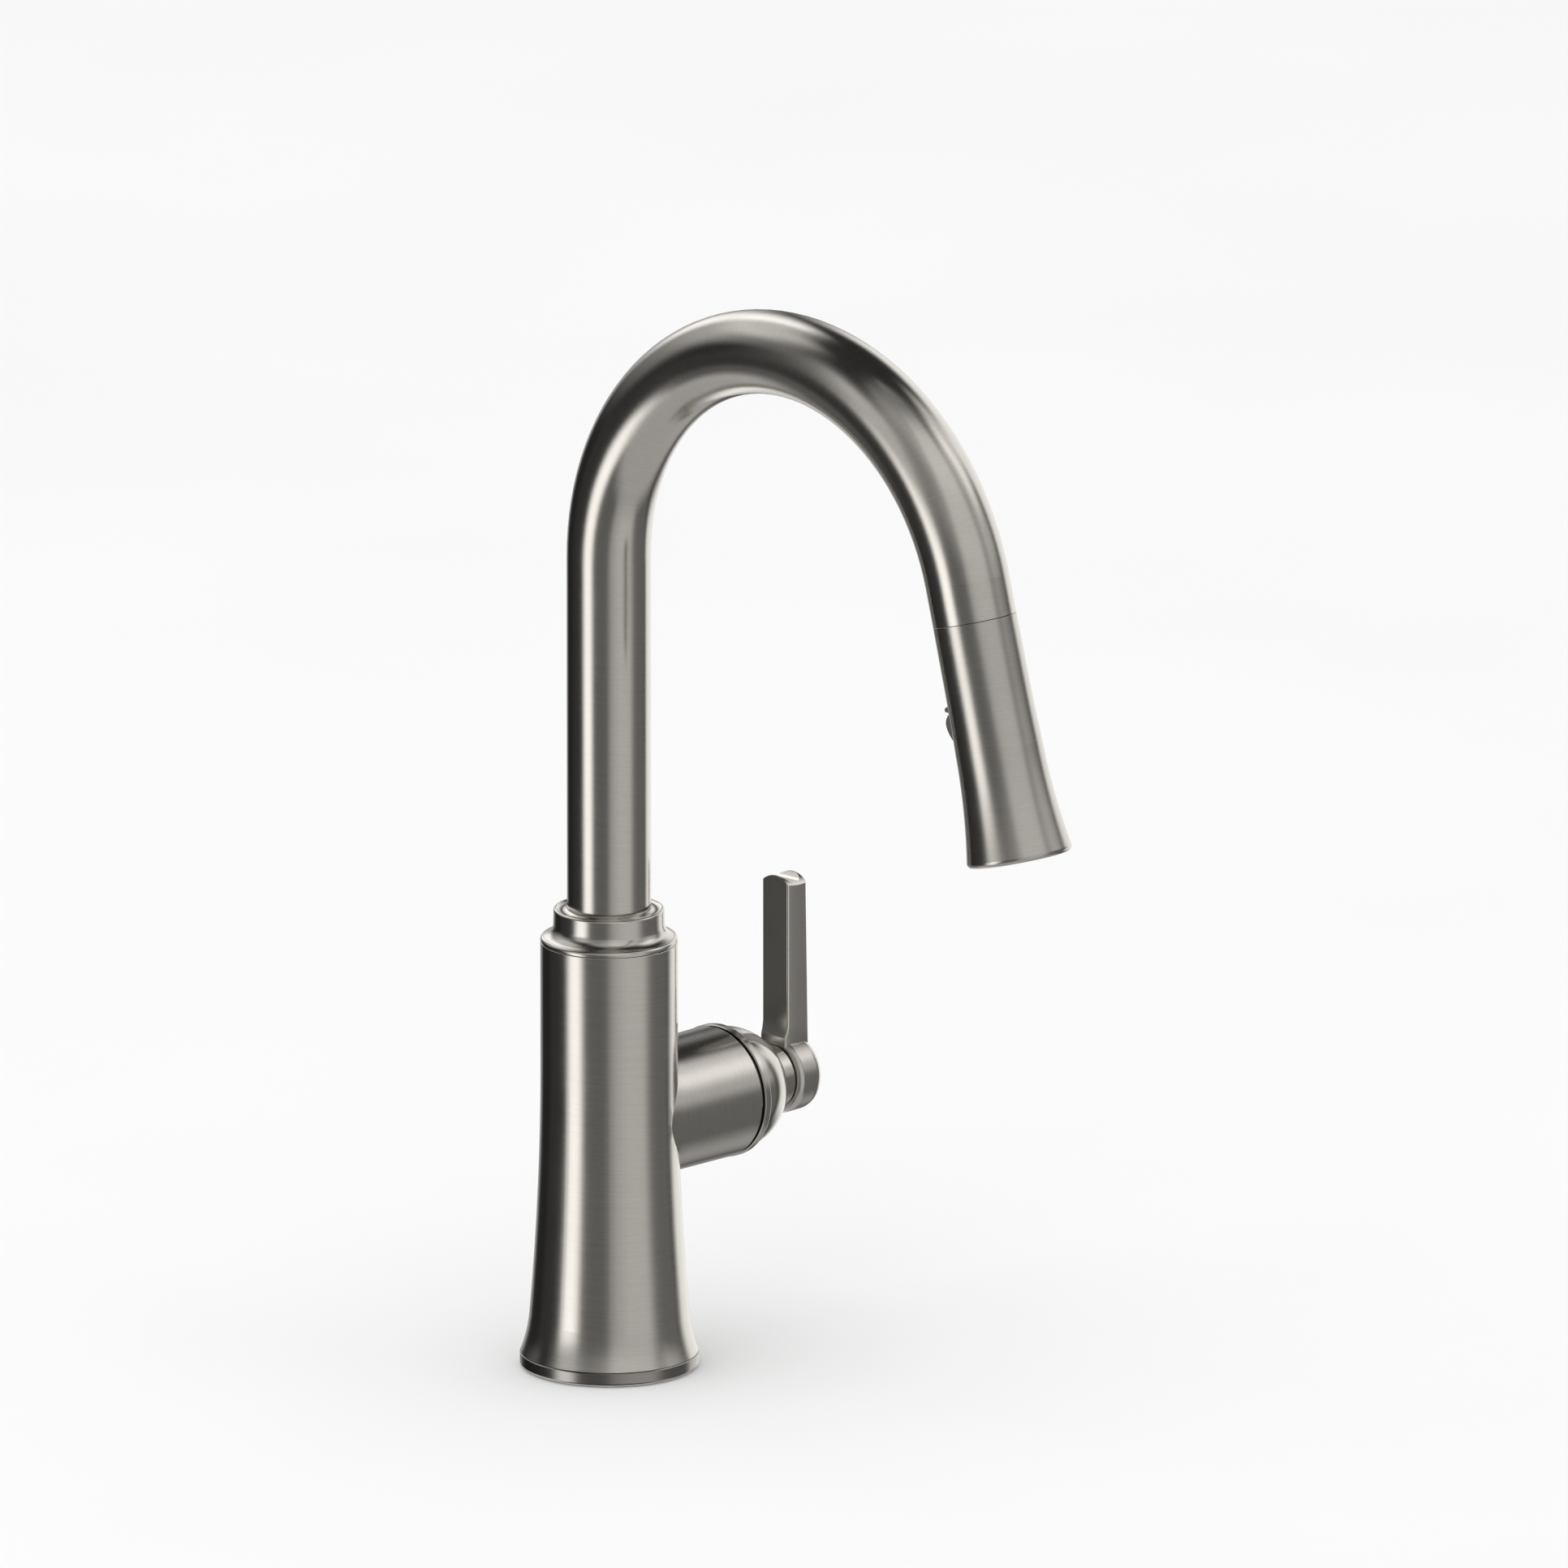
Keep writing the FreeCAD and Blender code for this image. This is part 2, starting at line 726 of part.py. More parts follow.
def toggle_button():
    """Rocker with a small lip above, a long bulge below and a prong to the spool."""
    low = TOGGLE_L - TOGGLE_HALF_LENGTH
    high = TOGGLE_L + TOGGLE_HALF_LENGTH
    back = 13.75
    rocker = toggle_side(turned([
        (back, low),
        (15.7, low),
        (16.9, low + 0.9, 15.8, low + 1.9),
        (15.7, low + 2.6),
        (16.9, TOGGLE_L - 2.2, 17.4, TOGGLE_L - 0.2),
        (16.8, TOGGLE_L + 3.4, 15.5, high),
        (back, high),
    ], 2 * TOGGLE_HALF_ANGLE))
    hub = toggle_side(turned([
        (back + 0.5, TOGGLE_L - 4.6),
        (back + 0.5, TOGGLE_L + 4.6),
        (12.2, TOGGLE_L + 2),
        (10.5, TOGGLE_L + 1.1),
        (10.5, TOGGLE_L - 1.1),
        (12.2, TOGGLE_L - 2),
    ], 2 * TOGGLE_HUB_ANGLE))
    prong = block((-1, 1), (-11, -3.8), (TOGGLE_L - 0.6, TOGGLE_L + 0.6))
    pin_bore = Part.makeCylinder(
        PIN_R + 0.06, 12, FreeCAD.Vector(-6, -TOGGLE_PIN_R, TOGGLE_L), FreeCAD.Vector(1, 0, 0)
    )
    return on_wand(fused(rocker, hub, prong).cut(pin_bore))


def toggle_pin():
    pin = Part.makeCylinder(
        PIN_R, 9.8, FreeCAD.Vector(-4.9, -TOGGLE_PIN_R, TOGGLE_L), FreeCAD.Vector(1, 0, 0)
    )
    return on_wand(pin)


def diverter_spool():
    """Spool that the toggle's prong shifts between stream and spray."""
    return on_wand(turned([
        (0, TOGGLE_L - 6),
        (4.65, TOGGLE_L - 6),
        (4.65, TOGGLE_L - 1),
        (3.2, TOGGLE_L - 1),
        (3.2, TOGGLE_L + 1),
        (4.65, TOGGLE_L + 1),
        (4.65, TOGGLE_L + 6.5),
        (0, TOGGLE_L + 6.5),
    ]))


def diverter_spring():
    """Coil spring under the spool."""
    pitch = 2.2
    height = 8.4
    coil_r = 3.9
    wire_r = 0.4
    helix = Part.makeHelix(pitch, height, coil_r)
    section = Part.Wire(Part.makeCircle(wire_r, FreeCAD.Vector(coil_r, 0, 0), FreeCAD.Vector(0, 1, 0)))
    spring = Part.Wire(helix).makePipeShell([section], True, True)
    return on_wand(spring.translated(FreeCAD.Vector(0, 0, 57.2)))


NOZZLE_RINGS = [(24, 13.9), (18, 10.6)]


def nozzle_places():
    places = []
    for count, radius in NOZZLE_RINGS:
        places += circle_of(count, radius)
    return places


def spray_nozzles():
    """Soft plate behind the face with one tapered nozzle at each hole."""
    plate = ring(15.7, 7.9, FACE_FROM - 1.8, FACE_FROM - 0.1)
    tips = []
    for x, y in nozzle_places():
        tip = Part.makeCone(1.0, 0.75, 6.2, FreeCAD.Vector(x, y, FACE_FROM - 0.2))
        tips.append(tip)
    return on_wand(fused(plate, *tips))


def spray_face():
    """Round face plate with the nozzle holes."""
    face = turned([
        (7.9, FACE_FROM),
        (16.0, FACE_FROM),
        (16.0, FACE_FROM + 2.5),
        (FACE_R, FACE_FROM + 2.5),
        (FACE_R, FACE_FROM + 4.7),
        (7.9, FACE_FROM + 5.3),
    ])
    holes = [rod(1.05, FACE_FROM - 1, FACE_FROM + 7, x, y) for x, y in nozzle_places()]
    return on_wand(face.cut(holes))


def aerator():
    """Stream outlet in the centre of the face, with a perforated plate."""
    shell = ring(7.8, 6.4, FACE_FROM - 4.6, WAND_LENGTH - 0.8)
    low = FACE_FROM + 2
    plate = rod(6.5, low, low + 1)
    holes = [rod(0.7, low - 1, low + 2)]
    for count, radius in ((6, 2.2), (12, 4.4)):
        holes += [rod(0.7, low - 1, low + 2, x, y) for x, y in circle_of(count, radius)]
    return on_wand(fused(shell, plate.cut(holes)))


# -------------------------------------------------------- under the deck


def tube_places():
    """(x, y, top) of the hot, cold and outlet tubes."""
    supply_top = VALVE_Z - 9
    return [
        (SUPPLY_X, SUPPLY_Y, supply_top),
        (SUPPLY_X, -SUPPLY_Y, supply_top),
        (OUTLET_X, 0.0, supply_top - 5),
    ]


TUBE_BOTTOM = -72.0
THREAD_LENGTH = 12.0


def copper_tube(index):
    x, y, top = tube_places()[index]
    return ring(SUPPLY_R, SUPPLY_R - 1, TUBE_BOTTOM, top - 0.2, x, y)


def threaded_end(index):
    """Brass end with a 10 mm thread below a short shoulder on the tube."""
    x, y, _ = tube_places()[index]
    drop = 6.0
    end = turned([
        (SUPPLY_R - 1, TUBE_BOTTOM - drop - THREAD_LENGTH),
        (THREAD_R, TUBE_BOTTOM - drop - THREAD_LENGTH),
        (THREAD_R, TUBE_BOTTOM - drop),
        (4.4, TUBE_BOTTOM - drop),
        (4.4, TUBE_BOTTOM),
        (SUPPLY_R - 1, TUBE_BOTTOM),
    ])
    return end.translated(FreeCAD.Vector(x, y, 0))


def mounting_shank():
    """Hollow shank, plain through the deck, threaded below and screwed into the column's floor."""
    return turned([
        (SHANK_BORE_R, SHANK_BOTTOM),
        (SHANK_THREAD_R, SHANK_BOTTOM),
        (SHANK_THREAD_R, -DECK_T),
        (SHANK_R, -DECK_T),
        (SHANK_R, GASKET_T),
        (SPIGOT_R, GASKET_T),
        (SPIGOT_R, FLOOR_TOP - 0.5),
        (SHANK_BORE_R, FLOOR_TOP - 0.5),
    ])


CLAMP_R = 27.0
RUBBER_T = 3.0
STEEL_T = 2.0
NUT_GAP = 5.0
NUT_T = 8.0


def deck_washer_rubber():
    return ring(CLAMP_R, SHANK_R + 1, -DECK_T - RUBBER_T, -DECK_T)


def deck_washer_steel():
    top = -DECK_T - RUBBER_T
    return ring(CLAMP_R, SHANK_R + 1, top - STEEL_T, top)


def jack_screw_places():
    return circle_of(2, 21.6)


def mounting_nut():
    """Round nut with two tapped holes for the jack screws."""
    top = -DECK_T - RUBBER_T - STEEL_T - NUT_GAP
    nut = ring(CLAMP_R, SHANK_THREAD_R + 0.05, top - NUT_T, top)
    holes = [rod(2.55, top - NUT_T - 1, top + 1, x, y) for x, y in jack_screw_places()]
    return nut.cut(holes)


def jack_screws():
    """Two screws that press the steel washer against the deck."""
    top = -DECK_T - RUBBER_T - STEEL_T
    screws = []
    for x, y in jack_screw_places():
        shaft = rod(2.5, top - 22, top, x, y)
        head = hexagon(8, top - 26, top - 22, x, y)
        screws.append(fused(shaft, head))
    return Part.makeCompound(screws)


# ---------------------------------------------------------------- export


NODES = {
    "body_casting": body_casting,
    "base_ring": base_ring,
    "base_gasket": base_gasket,
    "glide_washer": glide_washer,
    "upper_bushing": upper_bushing,
    "lower_bushing": lower_bushing,
    "valve_block": valve_block,
    "cartridge_seals": cartridge_seals,
    "cartridge_body": cartridge_body,
    "fixed_disc": fixed_disc,
    "moving_disc": moving_disc,
    "cartridge_nut": cartridge_nut,
    "stem_carrier": stem_carrier,
    "pivot_pin": pivot_pin,
    "lever_stem": lever_stem,
    "trim_ring": trim_ring,
    "dome_cap": dome_cap,
    "neck_ring": neck_ring,
    "lever_handle": lever_handle,
    "handle_screw": handle_screw,
    "screw_plug": screw_plug,
    "spout_collar": spout_collar,
    "swivel_clip": swivel_clip,
    "spout_tube": spout_tube,
    "dock_bushing": dock_bushing,
    "dock_magnet": dock_magnet,
    "spray_hose": spray_hose,
    "hose_end_fitting": hose_end_fitting,
    "hose_nut": hose_nut,
    "dock_ring": dock_ring,
    "hose_washer": hose_washer,
    "wand_shell": wand_shell,
    "wand_neck": wand_neck,
    "check_valve": check_valve,
    "wand_waterway": wand_waterway,
    "toggle_button": toggle_button,
    "toggle_pin": toggle_pin,
    "diverter_spool": diverter_spool,
    "diverter_spring": diverter_spring,
    "spray_nozzles": spray_nozzles,
    "spray_face": spray_face,
    "aerator": aerator,
    "inlet_tube_hot": lambda: copper_tube(0),
    "inlet_tube_cold": lambda: copper_tube(1),
    "outlet_tube": lambda: copper_tube(2),
    "inlet_fitting_hot": lambda: threaded_end(0),
    "inlet_fitting_cold": lambda: threaded_end(1),
    "outlet_fitting": lambda: threaded_end(2),
    "mounting_shank": mounting_shank,
    "deck_washer_rubber": deck_washer_rubber,
    "deck_washer_steel": deck_washer_steel,
    "mounting_nut": mounting_nut,
    "jack_screws": jack_screws,
}


def main():
    os.makedirs("parts", exist_ok=True)
    for name, make in NODES.items():
        shape = make()
        if not shape.isValid():
            raise SystemExit(name + " is not a valid solid")
        shape.exportStep("parts/" + name + ".step")
        print(name, len(shape.Solids), "solid", round(shape.Volume / 1000, 2), "cm3")


main()
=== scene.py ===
import math

import bmesh
import bpy
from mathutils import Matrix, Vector


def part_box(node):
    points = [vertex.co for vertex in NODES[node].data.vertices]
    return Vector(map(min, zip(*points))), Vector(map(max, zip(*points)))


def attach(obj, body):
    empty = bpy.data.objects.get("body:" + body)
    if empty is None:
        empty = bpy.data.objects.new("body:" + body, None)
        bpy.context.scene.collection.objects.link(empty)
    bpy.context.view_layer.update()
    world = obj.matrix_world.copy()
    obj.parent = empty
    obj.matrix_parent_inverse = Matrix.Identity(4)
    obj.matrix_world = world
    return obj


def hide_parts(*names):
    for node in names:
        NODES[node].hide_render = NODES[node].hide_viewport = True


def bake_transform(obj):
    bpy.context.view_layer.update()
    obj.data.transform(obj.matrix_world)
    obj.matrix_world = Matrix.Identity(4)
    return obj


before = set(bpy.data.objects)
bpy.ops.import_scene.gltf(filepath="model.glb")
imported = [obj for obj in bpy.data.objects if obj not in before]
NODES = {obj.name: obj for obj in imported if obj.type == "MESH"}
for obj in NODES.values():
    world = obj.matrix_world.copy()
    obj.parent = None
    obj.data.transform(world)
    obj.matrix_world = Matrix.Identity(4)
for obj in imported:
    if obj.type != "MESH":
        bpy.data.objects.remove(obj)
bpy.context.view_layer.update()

# Directions in the frame: +Z up, the spout points to -Y, the lever is on +X.
VIEW_AZIMUTH = math.radians(-46)
VIEW_ELEVATION = math.radians(15)
ARCH_TILT = math.radians(15)
WAND_AXIS = Vector((0, -math.sin(ARCH_TILT), -math.cos(ARCH_TILT)))


def direction(azimuth, elevation):
    """Unit vector towards a direction: azimuth 0 is -Y and grows towards +X."""
    level = math.cos(elevation)
    return Vector((math.sin(azimuth) * level, -math.cos(azimuth) * level, math.sin(elevation)))


VIEW_RIGHT = Vector((math.cos(VIEW_AZIMUTH), math.sin(VIEW_AZIMUTH), 0))


# ------------------------------------------------------------------ places


def centre(node):
    low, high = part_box(node)
    return (Vector(low) + Vector(high)) / 2


VALVE_CENTRE = centre("trim_ring")
OUTLET = centre("dock_ring")
ARCH_R = 0.09
ARCH_CENTRE = Vector((0, -ARCH_R, 0.299))
STUB_FROM_R = 0.0262
FLARE_TOP = 0.06
GROOVE_R = 0.0236
HUB_TOP = VALVE_CENTRE.z + 0.0142
DECK_T = 0.020
FITTING_TOP = -0.078


# --------------------------------------------------------------- node tools


class Tree:
    """Short calls for building one node tree."""

    def __init__(self, holder):
        holder.use_nodes = True
        self.tree = holder.node_tree
        self.tree.nodes.clear()

    def add(self, kind, **settings):
        node = self.tree.nodes.new(kind)
        for name, value in settings.items():
            setattr(node, name, value)
        return node

    def put(self, value, socket):
        if hasattr(value, "is_output"):
            self.tree.links.new(value, socket)
        elif value is not None:
            socket.default_value = value

    def maths(self, operation, a, b=None, c=None, clamp=False):
        node = self.add("ShaderNodeMath", operation=operation, use_clamp=clamp)
        for value, socket in zip((a, b, c), node.inputs):
            self.put(value, socket)
        return node.outputs[0]

    def vector(self, operation, a, b=None, scale=None):
        node = self.add("ShaderNodeVectorMath", operation=operation)
        self.put(a, node.inputs[0])
        self.put(b, node.inputs[1])
        if scale is not None:
            self.put(scale, node.inputs["Scale"])
        return node.outputs["Value" if operation in ("DOT_PRODUCT", "LENGTH") else "Vector"]

    def parts(self, vector):
        """X, Y and Z of a vector."""
        node = self.add("ShaderNodeSeparateXYZ")
        self.put(vector, node.inputs[0])
        return tuple(node.outputs)

    def join(self, x, y, z):
        node = self.add("ShaderNodeCombineXYZ")
        for value, socket in zip((x, y, z), node.inputs):
            self.put(value, socket)
        return node.outputs[0]

    def noise(self, vector, scale, detail=3.0, roughness=0.5):
        node = self.add("ShaderNodeTexNoise")
        self.put(vector, node.inputs["Vector"])
        node.inputs["Scale"].default_value = scale
        node.inputs["Detail"].default_value = detail
        node.inputs["Roughness"].default_value = roughness
        return node.outputs["Fac"]

    def spread(self, value, low, high, from_low=0.0, from_high=1.0, smooth=False):
        node = self.add("ShaderNodeMapRange")
        if smooth:
            node.interpolation_type = "SMOOTHSTEP"
        limits = {"From Min": from_low, "From Max": from_high, "To Min": low, "To Max": high}
        for name, number in limits.items():
            node.inputs[name].default_value = number
        self.put(value, node.inputs["Value"])
        return node.outputs["Result"]

    def blend(self, factor, a, b):
        node = self.add("ShaderNodeMix", data_type="RGBA")
        self.put(factor, node.inputs["Factor"])
        self.put(a, node.inputs["A"])
        self.put(b, node.inputs["B"])
        return node.outputs["Result"]

    def relief(self, shader, height, strength, distance):
        """Fine bumps on a surface; distance is their depth in metres."""
        bump = self.add("ShaderNodeBump")
        bump.inputs["Strength"].default_value = strength
        bump.inputs["Distance"].default_value = distance
        self.put(height, bump.inputs["Height"])
        self.put(bump.outputs[0], shader.inputs["Normal"])


def new_material(name):
    material = bpy.data.materials.new(name)
    tree = Tree(material)
    shader = tree.add("ShaderNodeBsdfPrincipled")
    output = tree.add("ShaderNodeOutputMaterial")
    tree.tree.links.new(shader.outputs["BSDF"], output.inputs["Surface"])
    return material, tree, shader


# ---------------------------------------------------------------- materials


class Brushing:
    """Fine lines of a brushed surface: along counts from line to line, around is their direction."""

    def __init__(self, along, around):
        self.along = along
        self.around = around


def lathe_turned(tree, place, axis, origin):
    """Lines that circle an axis."""
    arm = tree.vector("SUBTRACT", place, tuple(origin))
    along = tree.vector("DOT_PRODUCT", arm, tuple(axis))
    around = tree.vector("NORMALIZE", tree.vector("CROSS_PRODUCT", tuple(axis), arm))
    return Brushing(along, around)


def round_the_spout(tree, place):
    """Lines that circle the gooseneck's centre line, straight runs included."""
    _, y, z = tree.parts(tree.vector("SUBTRACT", place, tuple(ARCH_CENTRE)))
    angle = tree.maths("ARCTAN2", z, y)
    angle = tree.maths("MINIMUM", tree.maths("MAXIMUM", angle, 0.0), math.pi - ARCH_TILT)
    sine = tree.maths("SINE", angle)
    cosine = tree.maths("COSINE", angle)
    outward = tree.join(0.0, cosine, sine)
    forward = tree.join(0.0, tree.maths("MULTIPLY", sine, -1.0), cosine)
    centre_line = tree.vector("ADD", tree.vector("SCALE", outward, scale=ARCH_R), tuple(ARCH_CENTRE))
    arm = tree.vector("SUBTRACT", place, centre_line)
    beyond = tree.vector("DOT_PRODUCT", arm, forward)
    along = tree.maths("ADD", beyond, tree.maths("MULTIPLY", angle, ARCH_R))
    around = tree.vector("NORMALIZE", tree.vector("CROSS_PRODUCT", forward, arm))
    return Brushing(along, around)


def column_and_stub(tree, place):
    """Lines round the column, and round the valve's axis on the stub."""
    column = lathe_turned(tree, place, (0, 0, 1), (0, 0, 0))
    stub = lathe_turned(tree, place, (1, 0, 0), VALVE_CENTRE)
    x, y, z = tree.parts(place)
    flat = tree.vector("LENGTH", tree.join(x, y, 0.0))
    is_far = tree.maths("GREATER_THAN", flat, STUB_FROM_R)
    is_high = tree.maths("GREATER_THAN", z, FLARE_TOP)
    on_stub = tree.maths("MULTIPLY", is_far, is_high)
    return choose(tree, on_stub, column, stub)


def hub_and_blade(tree, place):
    """Rings on the hub, lines along the blade."""
    hub = lathe_turned(tree, place, (1, 0, 0), VALVE_CENTRE)
    x, y, z = tree.parts(place)
    lengthways = Brushing(tree.maths("ADD", y, x), tree.join(0.0, 0.0, 1.0))
    on_blade = tree.spread(z, 0, 1, HUB_TOP - 0.002, HUB_TOP + 0.004, smooth=True)
    return choose(tree, on_blade, hub, lengthways)


def choose(tree, factor, first, second):
    """One set of lines where factor is 0, the other where it is 1."""
    along = tree.add("ShaderNodeMix", data_type="FLOAT")
    around = tree.add("ShaderNodeMix", data_type="VECTOR")
    for node, values in ((along, (first.along, second.along)), (around, (first.around, second.around))):
        sockets = [socket for socket in node.inputs if socket.enabled]
        tree.put(factor, sockets[0])
        tree.put(values[0], sockets[1])
        tree.put(values[1], sockets[2])
    outputs = [next(socket for socket in node.outputs if socket.enabled) for node in (along, around)]
    return Brushing(*outputs)


def groove_painted_shade(tree, place):
    """Painted shade mask: 1 on the recessed floor beside the stub's end, 0 elsewhere."""
    x, y, z = tree.parts(tree.vector("SUBTRACT", place, tuple(VALVE_CENTRE)))
    radius = tree.vector("LENGTH", tree.join(0.0, y, z))
    inside = tree.maths("LESS_THAN", radius, GROOVE_R)
    return tree.maths("MULTIPLY", inside, tree.maths("LESS_THAN", x, 0.0))


def blade_painted_light(tree, place):
    """Painted light mask: 1 on the lever's flat upright part, 0 on its hub."""
    height = tree.parts(place)[2]
    return tree.spread(height, 0, 1, HUB_TOP - 0.002, HUB_TOP + 0.006, smooth=True)


def brushed_metal(name, colour, lines, roughness=0.17, shade=None):
    """Satin metal with fine lines in colour, gloss and relief, and faint cloudy handling marks.

    shade is a rule for a part of the surface, and how many times as bright that part is painted: below 1
    this is painted shade, above 1 painted light.
    """
    material, tree, shader = new_material(name)
    place = tree.add("ShaderNodeTexCoord").outputs["Object"]
    brushing = lines(tree, place)
    drift = tree.vector("SCALE", brushing.around, scale=0.003)
    across = tree.join(brushing.along, brushing.along, brushing.along)
    brushed = tree.vector("ADD", across, drift)
    fine = tree.noise(brushed, 5200.0, 2.0, 0.7)
    wide = tree.noise(brushed, 900.0, 3.0, 0.6)
    cloud = tree.noise(place, 28.0, 3.0, 0.55)
    streak = tree.maths("ADD", tree.maths("MULTIPLY", fine, 0.6), tree.maths("MULTIPLY", wide, 0.4))
    dark = tuple(c * 0.92 for c in colour)
    light = tuple(c * 1.06 for c in colour)
    tint = tree.spread(streak, 0.0, 1.0, 0.3, 0.7)
    paint = tree.blend(tint, (*dark, 1), (*light, 1))
    # Scales the colour on the masked part: painted shade where the strength is below 1, painted light
    # where it is above.
    if shade:
        where, strength = shade
        paint = tree.vector("SCALE", paint, scale=tree.spread(where(tree, place), 1.0, strength))
    tree.put(paint, shader.inputs["Base Color"])
    gloss = tree.maths("ADD", tree.spread(streak, -0.025, 0.025, 0.3, 0.7), roughness)
    gloss = tree.maths("ADD", gloss, tree.spread(cloud, -0.012, 0.018, 0.35, 0.7))
    tree.put(gloss, shader.inputs["Roughness"])
    shader.inputs["Metallic"].default_value = 1.0
    shader.inputs["Anisotropic"].default_value = 0.5
    turned = tree.add("ShaderNodeVectorTransform", vector_type="VECTOR")
    turned.convert_from = "OBJECT"
    turned.convert_to = "WORLD"
    tree.put(brushing.around, turned.inputs[0])
    tree.put(turned.outputs[0], shader.inputs["Tangent"])
    tree.relief(shader, streak, 0.05, 0.00005)
    return material


def threaded_metal(name, colour, roughness, pitch, top):
    """Turned metal with the ridges of a thread below a given height."""
    material, tree, shader = new_material(name)
    place = tree.add("ShaderNodeTexCoord").outputs["Object"]
    height = tree.parts(place)[2]
    ridge = tree.maths("PINGPONG", height, pitch / 2)
    ridge = tree.maths("MULTIPLY", ridge, 2 / pitch)
    ridge = tree.maths("MULTIPLY", ridge, tree.maths("LESS_THAN", height, top))
    cloud = tree.noise(place, 90.0, 4.0, 0.6)
    dark = tuple(c * 0.7 for c in colour)
    # Colour is darker where the ridge is low: painted shade in the thread's roots. Above the thread,
    # where the ridge is 0, the whole surface takes that darker tone.
    tint = tree.maths("MULTIPLY", tree.spread(cloud, 0.5, 1.0, 0.3, 0.7), tree.spread(ridge, 0.75, 1.0))
    tree.put(tree.blend(tint, (*dark, 1), (*colour, 1)), shader.inputs["Base Color"])
    tree.put(tree.spread(cloud, roughness - 0.05, roughness + 0.08, 0.3, 0.7), shader.inputs["Roughness"])
    shader.inputs["Metallic"].default_value = 1.0
    tree.relief(shader, ridge, 0.8, 0.0006)
    return material


def braided(name, colour, lines, radius):
    """Nylon braid: two families of strands that cross round the hose."""
    material, tree, shader = new_material(name)
    place = tree.add("ShaderNodeTexCoord").outputs["Object"]
    brushing = lines(tree, place)
    x, y, _ = tree.parts(brushing.around)
    turn = tree.maths("ARCTAN2", y, x)
    strands = 16
    twist = strands / radius
    lean = tree.maths("MULTIPLY", brushing.along, twist)
    fan = tree.maths("MULTIPLY", turn, float(strands))
    left = tree.maths("SINE", tree.maths("ADD", fan, lean))
    right = tree.maths("SINE", tree.maths("SUBTRACT", fan, lean))
    weave = tree.spread(tree.maths("MAXIMUM", left, right), 0.0, 1.0, -0.4, 1.0)
    fibre = tree.noise(place, 6000.0, 2.0, 0.6)
    dark = tuple(c * 0.25 for c in colour)
    tint = tree.maths("MULTIPLY", weave, tree.spread(fibre, 0.6, 1.0, 0.3, 0.7))
    tree.put(tree.blend(tint, (*dark, 1), (*colour, 1)), shader.inputs["Base Color"])
    shader.inputs["Roughness"].default_value = 0.45
    shader.inputs["Sheen Weight"].default_value = 0.2
    tree.relief(shader, weave, 0.9, 0.0004)
    return material


def plain_metal(name, colour, roughness, grain):
    """Turned or stamped metal with fine cloudy wear."""
    material, tree, shader = new_material(name)
    place = tree.add("ShaderNodeTexCoord").outputs["Object"]
    cloud = tree.noise(place, grain, 4.0, 0.6)
    fine = tree.noise(place, grain * 12, 3.0, 0.6)
    dark = tuple(c * 0.82 for c in colour)
    tint = tree.spread(cloud, 0.0, 1.0, 0.3, 0.7)
    tree.put(tree.blend(tint, (*dark, 1), (*colour, 1)), shader.inputs["Base Color"])
    tree.put(tree.spread(fine, roughness - 0.06, roughness + 0.06, 0.3, 0.7), shader.inputs["Roughness"])
    shader.inputs["Metallic"].default_value = 1.0
    return material


def moulded(name, colour, roughness):
    """Plastic or rubber with a fine moulded grain."""
    material, tree, shader = new_material(name)
    place = tree.add("ShaderNodeTexCoord").outputs["Object"]
    cloud = tree.noise(place, 54.0, 3.0, 0.6)
    fine = tree.noise(place, 900.0, 3.0, 0.6)
    dark = tuple(c * 0.8 for c in colour)
    light = tuple(c * 1.12 for c in colour)
    tint = tree.spread(cloud, 0.0, 1.0, 0.3, 0.7)
    tree.put(tree.blend(tint, (*dark, 1), (*light, 1)), shader.inputs["Base Color"])
    tree.put(tree.spread(fine, roughness - 0.08, roughness + 0.08, 0.3, 0.7), shader.inputs["Roughness"])
    tree.relief(shader, fine, 0.15, 0.0001)
    return material


NICKEL = (0.60, 0.575, 0.54)
WAND_NICKEL = (0.555, 0.532, 0.50)
# Base ring nickel at about 0.58 of the body's colour: painted shade at the foot.
BAND_NICKEL_PAINTED_SHADE = (0.35, 0.335, 0.315)
BRASS = (0.78, 0.57, 0.26)


def on_axis(axis, origin):
    """Lathe lines about one axis, as a brushing rule."""
    return lambda tree, place: lathe_turned(tree, place, axis, origin)


